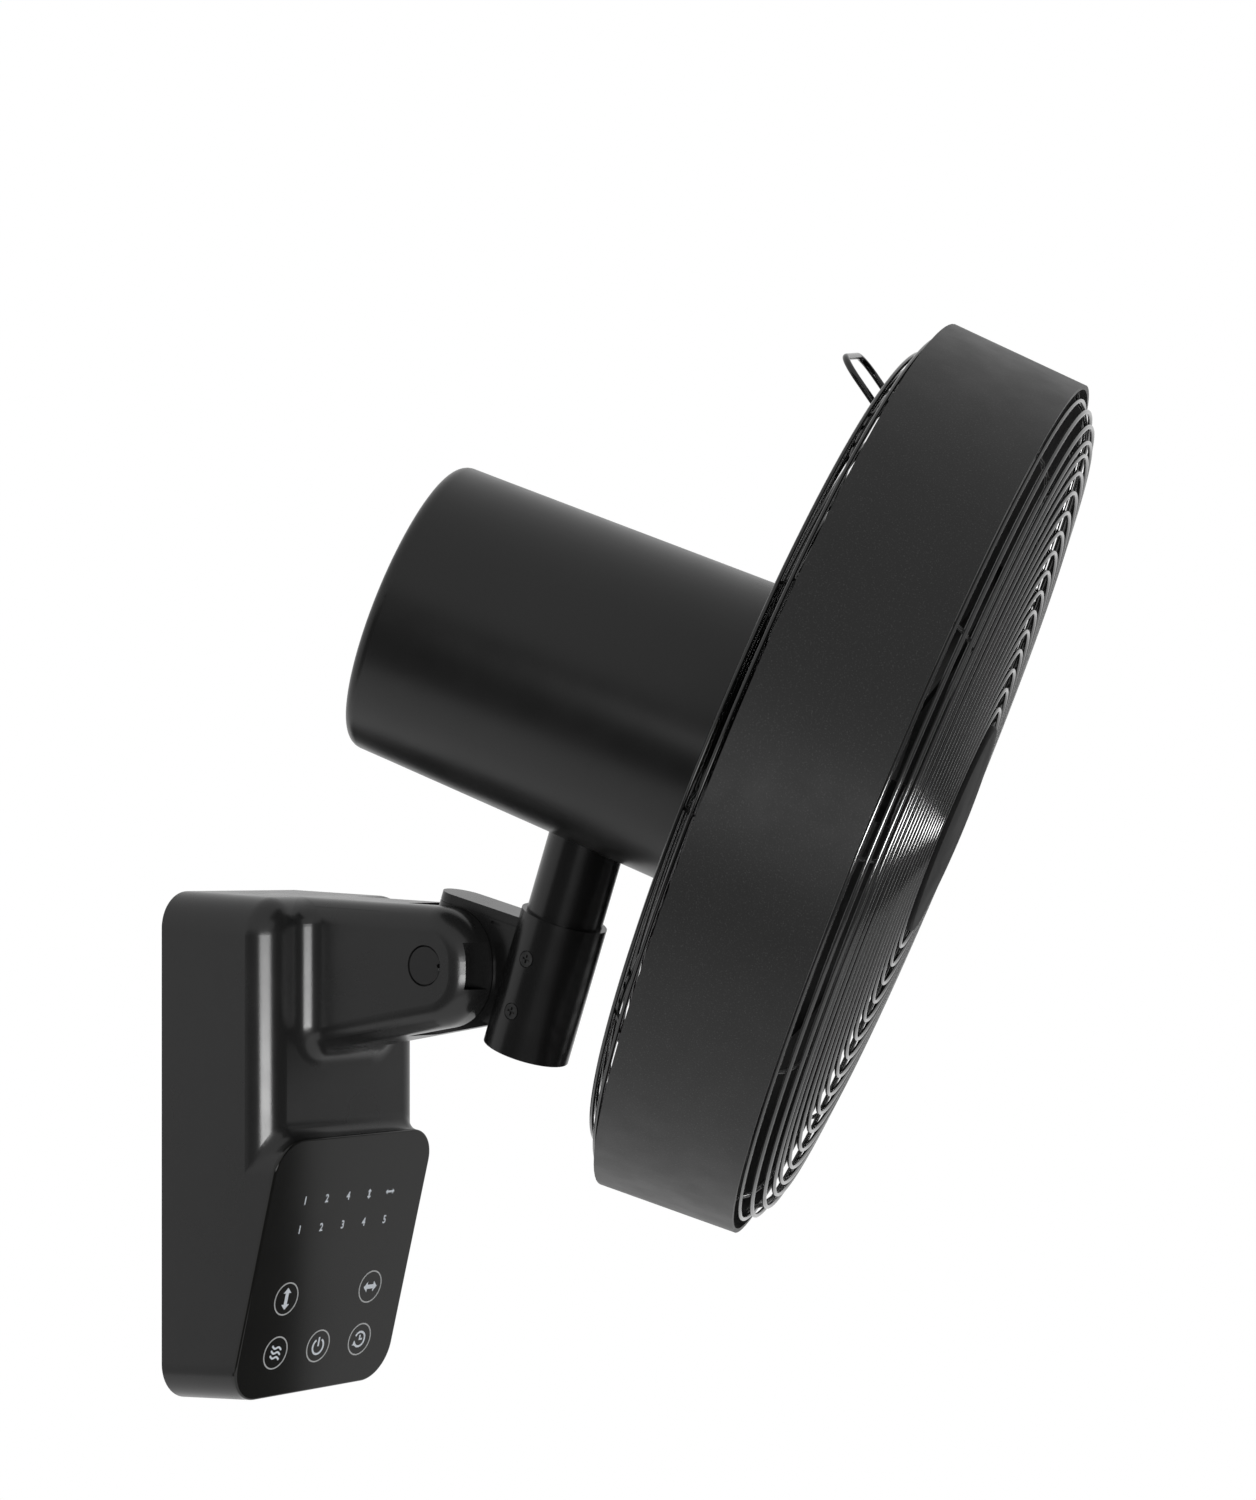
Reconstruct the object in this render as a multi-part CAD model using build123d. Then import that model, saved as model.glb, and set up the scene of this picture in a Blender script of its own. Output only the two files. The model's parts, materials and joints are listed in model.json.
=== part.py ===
"""Wall mounted fan with a tilting neck, a panning motor head and a drum guard.

Row frame: the wall is the plane y = 0 and the fan stands out from it along -Y, +Z is up and +X is
the viewer's right when facing the fan. The origin is the middle of the housing's back. The head is
drawn as it hangs in use: leaning forward on the tilt pivot and panned towards +X.
"""
from build123d import *
import os
from math import acos, cos, pi, radians, sin, sqrt, tan

os.makedirs("parts", exist_ok=True)

# ------------------------------------------------------------------ driving dimensions, mm and degrees
# wall housing
BODY_W = 121.0             # width of the housing
BODY_H = 260.3             # height at the wall
BODY_D = 72.0              # depth of the upper body
TOP_SLOPE = 2.6            # fall of the top face and of the arm's top, away from the wall
FOOT_SLOPE = 3.0           # rise of the underside, away from the wall
BODY_CORNER_R = 19.0       # corners in front view
BODY_EDGE_R = 15.0         # front edges of the upper body
POD_BLEND_R = 9.0          # hollow rounding above the touch panel
ARM_BLEND_R = 10.8         # hollow rounding at the arm's root
SHELL = 3.0                # wall of the mouldings

# touch panel on the sloped lower front; its datum is the power key
PANEL_TILT = 14.75         # lean of the panel, top further out
PANEL_OUT = 52.7           # datum, out from the wall
PANEL_RISE = 25.8          # datum, above the foot of the housing
PANEL_ABOVE = 114.0        # panel above the datum, along the panel
PANEL_TOP_R = 17.0
LENS_T = 2.4
TOUCH_BOARD_T = 1.6

# arm and fork
PIVOT_OUT = 149.0          # tilt pivot, out from the wall
PIVOT_DROP = 36.1          # tilt pivot, below the top of the housing
ARM_W = 62.6
ARM_NOSE = 27.5            # arm ahead of the pivot
ARM_NOSE_R = 27.0          # nose in side view
ARM_EDGE_R = 12.0          # edges along the arm
ARM_UNDER_ROOT = 45.0      # underside below the pivot, at the body
ARM_UNDER_NOSE = 27.0      # underside below the pivot, at the nose
SLOT_W = 24.0              # fork slot
SLOT_BACK = 26.5           # open slot behind the pivot
CHAMBER_END = 30.0         # wide gearbox chamber stops this far behind the pivot
NOSE_POCKET = (14.0, 28.0)        # pocket in the front of each cheek, from the middle of the fork
NOSE_POCKET_H = 23.0
NOSE_POCKET_BACK = 12.0    # its floor, ahead of the pivot
PIN_R = 5.0
PLUG_R = 10.25
PLUG_T = 2.5
RUN_GAP = 0.05             # radial clearance of turning fits
SEAT_GAP = 0.3             # gap between curved faces that stay apart

# wall side
BRACKET_T = 1.5
BRACKET_W = 84.0
BRACKET_H = 190.0
WALL_HOLE_R = 2.5
WALL_HOLE_DX = 60.0
WALL_HOLE_DZ = 150.0
BACK_PLATE_AT = 5.0        # back plate's wall side, out from the wall
BACK_PLATE_T = 2.5
POST_R = 4.5
POST_L = 34.0
CORD_HOLE_R = 4.0
GLAND_R = 7.5
GLAND_OUT = 30.0           # cord inlet, out from the wall
SUPPLY_W = 44.0            # supply board
SUPPLY_H = 90.0
SUPPLY_UP = -15.0          # its middle
SUPPLY_STAND = 6.0         # its height over the back plate
SUPPLY_BOARD_T = 1.6
TRANSFORMER = (18.0, 20.0, 16.4)     # across, up and tall
CAPACITOR_R = 6.0
CAPACITOR_H = 20.0

# tilting knuckle, in the tilt frame (origin on the pivot, -Y forward, +Z along the neck)
TILT_REST = 20.0           # lean of the neck at rest
NECK_AHEAD = 51.4          # neck axis ahead of the pivot
TONGUE_W = 23.0
TONGUE_BACK = 22.0         # tongue behind the pivot
TONGUE_TOP = 29.4          # parting line of the top cover, over the pivot
TONGUE_SLOPE = 5.5         # rise of the parting line and the cover, towards the neck
TONGUE_DEEP = 18.5         # underside of the tongue, below the pivot
TONGUE_HEEL = 11.0         # underside at its back end
COVER_T = 5.0
COVER_EDGE_R = 1.2
COVER_SEAM = (0.8, 0.6)    # groove under the cover, high and deep
PRY_SLOT = (6.0, 1.3, 1.0) # slot under the cover, long, high and deep
PRY_SLOT_AT = (20.7, 1.6)  # its middle, ahead of the pivot and below the cover
SOCKET_R = 21.6
SOCKET_TOP = 44.0
SOCKET_FOOT = -26.0
SOCKET_FLOOR = 6.0
PIPE_R = 19.0
PIPE_WALL = 2.5
SOCKET_SCREWS = (22.9, -4.3)
SCREW_HEAD_R = 3.8
SCREW_SHANK_R = 2.0

# gears
GEAR_MODULE = 1.25
PINION_TEETH = 12
SECTOR_TEETH = 48          # full circle that the sector is cut from
NECK_GEAR_TEETH = 36
GEAR_W = 10.0
NECK_GEAR_W = 8.0
BACKLASH = 0.34
SECTOR_SPAN = (-44.0, 26.0)       # toothed arc about the pivot, from straight back

# panning head; pan frame: origin where the fan axis crosses the neck axis
NECK_H = 158.5             # fan axis above the tilt pivot's foot on the neck
PAN_REST = 25.2            # pan at rest, towards +X
HEAD_DROOP = 4.5           # fan axis below the square to the neck
CAN_BACK = -118.4          # can's rear face along the fan axis
CAN_FRONT = 60.7
CAN_R_BACK = 73.2
CAN_TAPER = 0.021          # growth of the radius per mm forward
CAN_REAR_R = 6.3           # rounding of the can's rear edge
CAN_T = 2.5
CAN_HOLE_GAP = 1.0         # round the neck, in the can's belly
COLLAR_Z = -65.5           # thrust collar's underside, pan frame
COLLAR_T = 3.0
COLLAR_R = 23.5
BLOCK_TOP = -50.0          # top of the pan bracket's bearing block
BLOCK_H = 40.0
BLOCK_SIDE = 32.0          # half its width
BLOCK_BACK = 56.0          # its back, behind the neck
PAN_POST_W = 32.0          # post and plate over the block
PAN_POST_T = 9.0
NECK_GEAR_Z = -47.0        # underside of the neck gear
PIPE_TOP_Z = -38.0
PAN_PLATE_Z = -36.0
PAN_PLATE_T = 3.0
SERVO_R = 14.0             # small gear motors of tilt and pan
SERVO_L = 19.0
SERVO_OFFSET = 8.0         # motor centre from its output shaft
SERVO_SHAFT_R = 2.5

# fan motor
FRAME_R = 50.0
FRAME_T = 2.0
FRAME_L = 58.0
STATOR_L = 40.0
STATOR_IN_R = 24.0
ROTOR_R = 23.5
SHAFT_R = 4.0
BEARING_R = 11.0
BEARING_T = 7.0
FRONT_PLATE_T = 4.0
NECK_RING_R = 30.0         # collar on the front plate that carries the rear guard
NECK_RING_L = 14.0
NUT_R = 44.0

# drum and guards, along the fan axis from the neck axis
DRUM_BACK = 80.9
DRUM_FRONT = 148.5
DRUM_R_BACK = 221.2
DRUM_R_FRONT = 216.9
DRUM_T = 2.2
WIRE = 2.2                 # guard wire across
RING_SIDES = 24            # flats of each guard ring
RIBS = 12
FRONT_RIM_RINGS = (7.5, 11.2, 17.3, 24.4, 30.7, 39.1, 48.5)     # rings near the rim, in from the drum
FRONT_FACE_RINGS = 11      # even rings from the last of those to the cap
CAP_RING_GAP = 8.5         # innermost ring, out from the cap
FRONT_DOME = ((0.0, 0.0), (7.5, 0.5), (11.2, 5.2), (17.3, 8.8), (24.4, 10.7),      # in from the drum, rise
              (48.5, 13.2), (98.4, 16.2))
FRONT_RISE = 19.0          # rise of the guard at the cap
REAR_RIM_RINGS = (8.3, 18.4, 26.1, 36.5, 44.8, 60.5)
REAR_FACE_RINGS = 6        # even rings from the last of those to the can
CAN_RING_GAP = 3.8         # innermost rear ring, out from the can
REAR_DISH = ((1.5, 0.0), (8.3, 1.2), (18.4, 7.4), (26.1, 8.6), (36.5, 10.1), (102.5, 14.1))     # in, depth
REAR_PLATE_R = 62.0
REAR_PLATE_T = 1.8
CAP_R = 52.5
CAP_RISE = 2.8
CAP_T = 3.0                # edge of the cap
CAP_EDGE_R = 1.5
HANDLE_R = 1.6
HANDLE_W = 58.0
HANDLE_RING = 4            # rear ring that carries the handle, counted from the rim
HANDLE_OUT = 16.1
HANDLE_BACK = 24.1
HANDLE_BEND_R = 12.0

# blades
BLADES = 5
BLADE_TIP_GAP = 13.9       # blade tips to the drum's inner face
HUB_R = 46.0
HUB_BACK = 88.7
HUB_FRONT = 130.7
HUB_WALL = 2.5
BLADE_T = 2.2
BLADE_MID = 111.7          # middle of the blades along the fan axis
BLADE_ROOT = (44.0, 42.0)                             # chord and pitch at the hub
BLADE_BELLY = ((95.0, 84.0, 33.0), (150.0, 112.0, 25.0))      # radius, chord and pitch between
BLADE_TIP = (104.0, 20.0)

# ------------------------------------------------------------------ frames
PIVOT_UP = BODY_H / 2 - PIVOT_DROP
PANEL_UP = PANEL_RISE - BODY_H / 2
PIVOT = Pos(0, -PIVOT_OUT, PIVOT_UP)
TILT = PIVOT * Rot(TILT_REST, 0, 0)
NECK = TILT * Pos(0, -NECK_AHEAD, 0)
PAN = NECK * Rot(0, 0, PAN_REST) * Pos(0, 0, NECK_H)
HEAD = PAN * Rot(HEAD_DROOP, 0, 0) * Rot(90, 0, 0)     # local +Z forward along the fan axis, +Y up
PANEL = Pos(0, -PANEL_OUT, PANEL_UP) * Rot(90 + PANEL_TILT, 0, 0)    # local +Z out of the panel


# ------------------------------------------------------------------ helpers
def side_face(points):
    """Flat face in side view from (out, up) points; out is measured away from the wall."""
    return Plane.YZ * make_face(Polyline(*[(-out, up) for out, up in points], close=True))


def prism(face, width, middle=0.0):
    """Side-view face carried across x, both ways from the middle."""
    return Pos(middle, 0, 0) * extrude(face, width / 2, both=True)


def rod(radius, x_from, x_to):
    """Round bar along x."""
    return Pos(x_from, 0, 0) * Rot(0, 90, 0) * Cylinder(
        radius, x_to - x_from, align=(Align.CENTER, Align.CENTER, Align.MIN))


def disc(radius, z_from, z_to):
    """Round bar along z."""
    return Pos(0, 0, z_from) * Cylinder(
        radius, z_to - z_from, align=(Align.CENTER, Align.CENTER, Align.MIN))


def ring(outer, inner, z_from, z_to):
    """Plain ring along z."""
    return disc(outer, z_from, z_to) - disc(inner, z_from - 1, z_to + 1)


def slab(x, y, z):
    """Box from three (low, high) spans."""
    return Pos(x[0], y[0], z[0]) * Box(
        x[1] - x[0], y[1] - y[0], z[1] - z[0], align=(Align.MIN, Align.MIN, Align.MIN))


def turned(points):
    """Solid of revolution about z from (radius, z) points."""
    return revolve(Plane.XZ * make_face(Polyline(*points, close=True)), Axis.Z)


def along(table, where):
    """Straight-line reading of a table of (position, value), in falling order of position."""
    for (far, low), (near, high) in zip(table, table[1:]):
        if where >= near:
            return low + (high - low) * (far - where) / (far - near)
    return table[-1][1]


def top_line(out):
    """Height of the housing's top at a distance from the wall."""
    return BODY_H / 2 - out * tan(radians(TOP_SLOPE))


# ------------------------------------------------------------------ gears
def involute(angle):
    return tan(angle) - angle


def gear_points(teeth, first=0, count=None):
    """Outline of teeth of the gear as (radius, angle in radians); tooth 0 is centred on angle 0."""
    pitch_r = GEAR_MODULE * teeth / 2
    base_r = pitch_r * cos(radians(20))
    root_r = pitch_r - 1.2 * GEAR_MODULE
    tip_r = pitch_r + 0.85 * GEAR_MODULE
    half = pi / (2 * teeth) - BACKLASH / (4 * pitch_r) + involute(radians(20))
    flank = [(root_r, half if root_r < base_r else half - involute(acos(base_r / root_r)))]
    for radius in (max(base_r, root_r), pitch_r, tip_r):
        flank.append((radius, half - involute(acos(min(1.0, base_r / radius)))))
    if root_r >= base_r:
        flank.pop(1)
    points = []
    for number in range(first, first + (count or teeth)):
        middle = 2 * pi * number / teeth
        points += [(radius, middle - angle) for radius, angle in flank]
        points += [(radius, middle + angle) for radius, angle in reversed(flank)]
    return points


def gear_face(teeth, phase=0.0):
    """Full gear outline about the origin; phase in degrees turns a tooth away from +X."""
    outline = [(r * cos(a + radians(phase)), r * sin(a + radians(phase)))
               for r, a in gear_points(teeth)]
    return make_face(Polyline(*outline, close=True))


# ------------------------------------------------------------------ wall housing
def foot_line(out):
    """Height of the housing's underside at a distance from the wall."""
    return -BODY_H / 2 + out * tan(radians(FOOT_SLOPE))


def long_edges(solid):
    """Edges that run out from the wall."""
    return [e for e in solid.edges() if abs((e % 0.5).Y) > 0.9 and e.length > 30]


GLAND = Pos(0, -GLAND_OUT, foot_line(GLAND_OUT)) * Rot(-FOOT_SLOPE, 0, 0)    # local +Z into the housing


def body_block(inset):
    """Upright body with round corners and front edges, drawn in by inset except at the wall."""
    front = BODY_D - inset
    block = prism(side_face([(0, top_line(0) - inset), (front, top_line(front) - inset),
                             (front, foot_line(front) + inset), (0, foot_line(0) + inset)]),
                  BODY_W - 2 * inset)
    block = fillet(long_edges(block), BODY_CORNER_R - inset)
    return fillet(block.faces().sort_by(Axis.Y)[0].edges(), BODY_EDGE_R - inset)


def pod_block(inset):
    """Full-width block under the upper body, from the wall to past the touch panel."""
    top = PANEL_UP + PANEL_ABOVE * cos(radians(PANEL_TILT)) - inset
    deep = PANEL_OUT + (PANEL_ABOVE + 20) * sin(radians(PANEL_TILT))
    block = prism(side_face([(0, top), (deep, top), (deep, foot_line(deep) + inset), (0, foot_line(0) + inset)]),
                  BODY_W - 2 * inset)
    upper = [e for e in long_edges(block) if e.center().Z > -BODY_H / 4]
    block = fillet(upper, PANEL_TOP_R - inset)
    lower = [e for e in long_edges(block) if e.center().Z < -BODY_H / 4]
    return fillet(lower, BODY_CORNER_R - inset)


def before_panel(depth):
    """Everything in front of a plane that lies a depth behind the panel's face."""
    return PANEL * slab((-BODY_W, BODY_W), (-BODY_H, BODY_H), (-depth, BODY_H))


def arm_block(inset, start, end):
    """Arm from a distance out to its nose, drawn in by inset."""
    under = (ARM_UNDER_ROOT - ARM_UNDER_NOSE) / (end_of_arm() - BODY_D)
    points = [(start, top_line(start) - inset), (end, top_line(end) - inset),
              (end, PIVOT_UP - ARM_UNDER_NOSE - (end_of_arm() - end) * under + inset),
              (start, PIVOT_UP - ARM_UNDER_ROOT + (start - BODY_D) * under + inset)]
    return side_face(points)


def end_of_arm():
    return PIVOT_OUT + ARM_NOSE


def solid_arm():
    """Outer form of the arm with its round nose and rounded edges."""
    face = arm_block(0, BODY_D - 24, end_of_arm())
    nose = face.vertices().sort_by(Axis.Y)[:2]
    arm = prism(fillet(nose, ARM_NOSE_R), ARM_W)
    sides = arm.faces().sort_by(Axis.X)
    edges = [e for e in sides[0].edges() + sides[-1].edges() if e.center().Y < -(BODY_D - 24) - 0.5]
    return fillet(edges, ARM_EDGE_R)


def post_places():
    """Screw posts of the back plate along the side walls, x and z."""
    side = BODY_W / 2 - SHELL - POST_R + 1
    return [(x, z) for x in (-side, side) for z in (-BODY_H / 2 + 26, BODY_H / 2 - 28)]


def outer_form():
    """Housing as one closed form, with hollow roundings over the pod and at the arm's root."""
    body = body_block(0) + pod_block(0)
    pod_top = PANEL_UP + PANEL_ABOVE * cos(radians(PANEL_TILT))
    step = [e for e in body.edges() if (e.center() - Vector(0, -BODY_D, pod_top)).length < 0.1]
    form = fillet(step, POD_BLEND_R) - before_panel(LENS_T) + solid_arm()
    root = [e for e in form.edges() if abs(e.center().Y + BODY_D) < 0.01
            and abs(e.center().X) < ARM_W / 2 + 0.1 and e.center().Z > pod_top + POD_BLEND_R + 1]
    return fillet(root, ARM_BLEND_R)


def base_housing():
    housing = outer_form() - (body_block(SHELL) + pod_block(SHELL))
    chamber = arm_block(SHELL + 1, BODY_D - 26, PIVOT_OUT - CHAMBER_END)
    housing -= prism(chamber, ARM_W - 2 * SHELL)
    sector_r = GEAR_MODULE * (SECTOR_TEETH / 2 + 1)
    housing -= PIVOT * slab((-GEAR_W / 2 - 2, GEAR_W / 2 + 2), (SLOT_BACK - 1, CHAMBER_END + 1),
                            (-sector_r * sin(radians(50)), sector_r * sin(radians(50))))
    housing -= slab((-SLOT_W / 2, SLOT_W / 2), (-end_of_arm() - 1, -PIVOT_OUT + SLOT_BACK),
                    (0, BODY_H / 2 + 1))
    for side in (-1, 1):
        housing -= PIVOT * slab(sorted(side * x for x in NOSE_POCKET), (-ARM_W, -NOSE_POCKET_BACK),
                                (-NOSE_POCKET_H / 2, NOSE_POCKET_H / 2))
        housing -= PIVOT * rod(PLUG_R, *sorted((side * (ARM_W / 2 - PLUG_T), side * ARM_W)))
    housing -= PIVOT * rod(PIN_R, -ARM_W, ARM_W)
    for x, z in post_places():
        start = BACK_PLATE_AT + BACK_PLATE_T
        housing += Pos(x, -start, z) * Rot(90, 0, 0) * Cylinder(
            POST_R, POST_L, align=(Align.CENTER, Align.CENTER, Align.MIN))
    return housing - GLAND * disc(GLAND_R - 1.5, -5, 10)


def panel_lens():
    """Glossy touch panel that closes the pod."""
    lens = (pod_block(0) & before_panel(LENS_T)) - before_panel(0)
    front = [e for e in lens.edges() if abs((PANEL.inverse() * Pos(*e.center())).position.Z) < 0.01]
    return fillet(front, 1.0)


def touch_board():
    """Circuit board glued behind the lens."""
    board = slab((-BODY_W / 2 + 14, BODY_W / 2 - 14), (-14, PANEL_ABOVE - 16),
                 (-LENS_T - TOUCH_BOARD_T, -LENS_T))
    return PANEL * board


def wall_holes():
    """Screw holes of the wall bracket, x and z."""
    return [(x, z) for x in (-WALL_HOLE_DX / 2, WALL_HOLE_DX / 2) for z in (-WALL_HOLE_DZ / 2, WALL_HOLE_DZ / 2)]


def wall_bracket():
    """Steel plate on the wall, with four screw holes and two hooks for the housing."""
    plate = slab((-BRACKET_W / 2, BRACKET_W / 2), (-BRACKET_T, 0), (-BRACKET_H / 2, BRACKET_H / 2))
    corners = plate.edges().filter_by(Axis.Y)
    plate = fillet(corners, 6)
    for x, z in wall_holes():
        plate -= Pos(x, 0, z) * Rot(90, 0, 0) * Cylinder(WALL_HOLE_R, 10)
    for x in (-18, 18):
        plate += slab((x - 8, x + 8), (-BACK_PLATE_AT, -BRACKET_T + 0.2), (40, 40 + BRACKET_T))
    return plate


def back_plate():
    """Moulded plate that closes the housing and sits on the screw posts."""
    inner = body_block(SHELL + SEAT_GAP)
    layer = slab((-BODY_W, BODY_W), (-BACK_PLATE_AT - BACK_PLATE_T, -BACK_PLATE_AT), (-BODY_H, BODY_H))
    plate = inner & layer
    for x, z in wall_holes():
        plate -= Pos(x, 0, z) * Rot(90, 0, 0) * Cylinder(6.5, 30)
    return plate


def power_board():
    """Supply board on the back plate with its tall parts."""
    board = slab((-SUPPLY_W / 2, SUPPLY_W / 2), (-SUPPLY_H / 2, SUPPLY_H / 2),
                 (SUPPLY_STAND, SUPPLY_STAND + SUPPLY_BOARD_T))
    for x in (4 - SUPPLY_W / 2, SUPPLY_W / 2 - 4):
        for up in (5 - SUPPLY_H / 2, SUPPLY_H / 2 - 5):
            board += Pos(x, up, 0) * disc(3, 0, SUPPLY_STAND + 0.2)
    face = SUPPLY_STAND + SUPPLY_BOARD_T - 0.2
    across, up, tall = TRANSFORMER
    left, foot = 6 - SUPPLY_W / 2, 10 - SUPPLY_H / 2
    board += slab((left, left + across), (foot, foot + up), (face, face + tall + 0.2))
    for number in range(2):
        board += Pos(SUPPLY_W / 6, (3 * number + 0.5) * CAPACITOR_R, 0) * disc(
            CAPACITOR_R, face, face + CAPACITOR_H)
    return Pos(0, -BACK_PLATE_AT - BACK_PLATE_T, SUPPLY_UP) * Rot(90, 0, 0) * board


def cord_gland():
    """Strain-relief ring at the cord inlet under the housing."""
    gland = disc(GLAND_R - 1.5, 0, SHELL + 2) + disc(GLAND_R, -2, 0) + disc(GLAND_R, SHELL, SHELL + 3)
    gland -= disc(CORD_HOLE_R, -3, SHELL + 4)
    return GLAND * gland


def pivot_pin():
    """Steel pin through both cheeks."""
    end = ARM_W / 2 - PLUG_T
    return PIVOT * rod(PIN_R, -end, end)


def pivot_plug(side):
    """Snap-in cover over the pin, with a pry notch at its rim."""
    plug = rod(PLUG_R - 0.15, *sorted((side * (ARM_W / 2 - PLUG_T), side * (ARM_W / 2 - 0.2))))
    notch = slab(sorted((side * (ARM_W / 2 - 1.2), side * ARM_W)), (-PLUG_R - 1, -PLUG_R + 2), (-0.8, 0.8))
    return PIVOT * (plug - notch)


def servo(shaft_hole):
    """Small gear motor: round can, mounting ears and an off-centre output bore; shaft up local z."""
    body = Pos(0, SERVO_OFFSET, 0) * disc(SERVO_R, 0, SERVO_L)
    ears = Pos(0, SERVO_OFFSET, 0) * slab((-21, 21), (-3.5, 3.5), (0, 0.8))
    return body + ears - disc(SERVO_SHAFT_R + RUN_GAP, -1, shaft_hole)


TILT_MESH = GEAR_MODULE * (SECTOR_TEETH + PINION_TEETH) / 2      # pivot to tilt pinion
PAN_MESH = GEAR_MODULE * (NECK_GEAR_TEETH + PINION_TEETH) / 2    # neck to pan pinion
TILT_SHAFT = Pos(0, -PIVOT_OUT + TILT_MESH, PIVOT_UP)            # tilt pinion, in the row frame


def tilt_motor():
    """Gear motor on the inside of the arm's right wall."""
    seat = ARM_W / 2 - SHELL - SERVO_L
    return TILT_SHAFT * Pos(seat, 0, 0) * Rot(0, 90, 0) * servo(10)


def tilt_pinion():
    """Pinion and shaft in mesh with the knuckle's sector; a gap between its teeth faces the pivot."""
    gear = extrude(gear_face(PINION_TEETH, -90 + 180 / PINION_TEETH), GEAR_W / 2, both=True)
    seat = ARM_W / 2 - SHELL - SERVO_L
    pinion = Rot(0, 90, 0) * Rot(0, 0, 90) * gear
    return TILT_SHAFT * (pinion + rod(SERVO_SHAFT_R, 0, seat + 9))


# ------------------------------------------------------------------ tilting knuckle and neck
def tongue_plan(inset):
    """Plan outline of the tongue and its cover, drawn in: round at the back, running to the neck."""
    middle = TONGUE_BACK - TONGUE_W / 2
    half = TONGUE_W / 2 - inset
    return Pos(0, middle) * Circle(half) + Pos(0, middle) * Rectangle(
        2 * half, NECK_AHEAD + middle, align=(Align.CENTER, Align.MAX))


def sector():
    """Toothed sector behind the tongue, in mesh with the tilt pinion."""
    pitch = 360 / SECTOR_TEETH
    mesh_tooth = -TILT_REST / pitch                       # tooth position that faces the pinion at rest
    first = int((SECTOR_SPAN[0] + TILT_REST) / pitch)
    last = int((SECTOR_SPAN[1] + TILT_REST) / pitch)
    outline = [(r * cos(a + radians(mesh_tooth * pitch)), r * sin(a + radians(mesh_tooth * pitch)))
               for r, a in gear_points(SECTOR_TEETH, first, last - first + 1)]
    face = make_face(Polyline((0, 0), *outline, close=True))
    return extrude(Plane.YZ * face, GEAR_W / 2, both=True)


def parting(ahead):
    """Height of the line between the knuckle and its cover, ahead of the pivot."""
    return TONGUE_TOP + ahead * tan(radians(TONGUE_SLOPE))


def tongue_form(side, inset=0.0):
    """Side-view face given the tongue's width and its round back end, drawn in by inset."""
    return prism(side, TONGUE_W) & extrude(tongue_plan(inset), 2 * TONGUE_TOP, both=True)


def knuckle():
    """Casting that tilts: tongue, sector and the socket that holds the neck pipe."""
    side = side_face([(-TONGUE_BACK, parting(-TONGUE_BACK)), (NECK_AHEAD, parting(NECK_AHEAD)),
                      (NECK_AHEAD, -TONGUE_DEEP), (6, -TONGUE_DEEP), (-TONGUE_BACK, -TONGUE_HEEL)])
    low = [v for v in side.vertices() if v.Z < 0 and v.Y > -NECK_AHEAD + 1]
    tongue = tongue_form(fillet(low, 8))
    body = tongue + sector() + Pos(0, -NECK_AHEAD, 0) * disc(SOCKET_R, SOCKET_FOOT, SOCKET_TOP)
    body -= Pos(0, -NECK_AHEAD, 0) * disc(PIPE_R + RUN_GAP, SOCKET_FOOT + SOCKET_FLOOR, SOCKET_TOP + 1)
    body -= rod(PIN_R + RUN_GAP, -ARM_W, ARM_W)
    for z in SOCKET_SCREWS:
        body -= Pos(0, -NECK_AHEAD, z) * rod(SCREW_HEAD_R + 0.4, -SOCKET_R - 1, -SOCKET_R + 1.4)
        body -= Pos(0, -NECK_AHEAD, z) * rod(SCREW_SHANK_R + RUN_GAP, -SOCKET_R - 1, 0)
    length, height, depth = PRY_SLOT
    ahead, below = PRY_SLOT_AT
    slot = slab((-TONGUE_W, depth - TONGUE_W / 2), (-length / 2, length / 2), (-height / 2, height / 2))
    return TILT * (body - Pos(0, -ahead, parting(ahead) - below) * Rot(-TONGUE_SLOPE, 0, 0) * slot)


def cover_layer(low, high):
    """Side-view band between two heights over the parting line."""
    ends = (-TONGUE_BACK, NECK_AHEAD)
    return side_face([(end, parting(end) + low) for end in ends] +
                     [(end, parting(end) + high) for end in reversed(ends)])


def knuckle_cover():
    """Snap-on cover along the top of the tongue, with a groove under its edge."""
    seam, depth = COVER_SEAM
    cover = tongue_form(cover_layer(seam, COVER_T))
    top = cover.faces().sort_by(Axis.Z)[-1]
    cover = fillet(top.edges(), COVER_EDGE_R) + tongue_form(cover_layer(0, seam), depth)
    return TILT * (cover - Pos(0, -NECK_AHEAD, 0) * disc(SOCKET_R, 0, 2 * SOCKET_TOP))


def socket_screw(z):
    """Recessed screw through the socket into the pipe."""
    head = rod(SCREW_HEAD_R, -SOCKET_R + 0.2, -SOCKET_R + 1.4)
    shank = rod(SCREW_SHANK_R, -SOCKET_R + 1.2, -PIPE_R + PIPE_WALL + 3)
    drive = slab((-SOCKET_R, -SOCKET_R + 0.9), (-2.2, 2.2), (-0.5, 0.5))
    drive += slab((-SOCKET_R, -SOCKET_R + 0.9), (-0.5, 0.5), (-2.2, 2.2))
    return TILT * Pos(0, -NECK_AHEAD, z) * (head + shank - drive)


def neck_pipe():
    """Straight pipe from the socket up into the motor head."""
    foot = SOCKET_FOOT + SOCKET_FLOOR
    pipe = ring(PIPE_R, PIPE_R - PIPE_WALL, foot, NECK_H + PIPE_TOP_Z)
    for z in SOCKET_SCREWS:
        pipe -= Pos(0, 0, z) * rod(SCREW_SHANK_R + RUN_GAP, -SOCKET_R, 0)
    return NECK * pipe


def thrust_collar():
    """Ring fixed on the pipe, which carries the head's weight."""
    return NECK * Pos(0, 0, NECK_H) * ring(COLLAR_R, PIPE_R, COLLAR_Z, COLLAR_Z + COLLAR_T)


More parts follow.
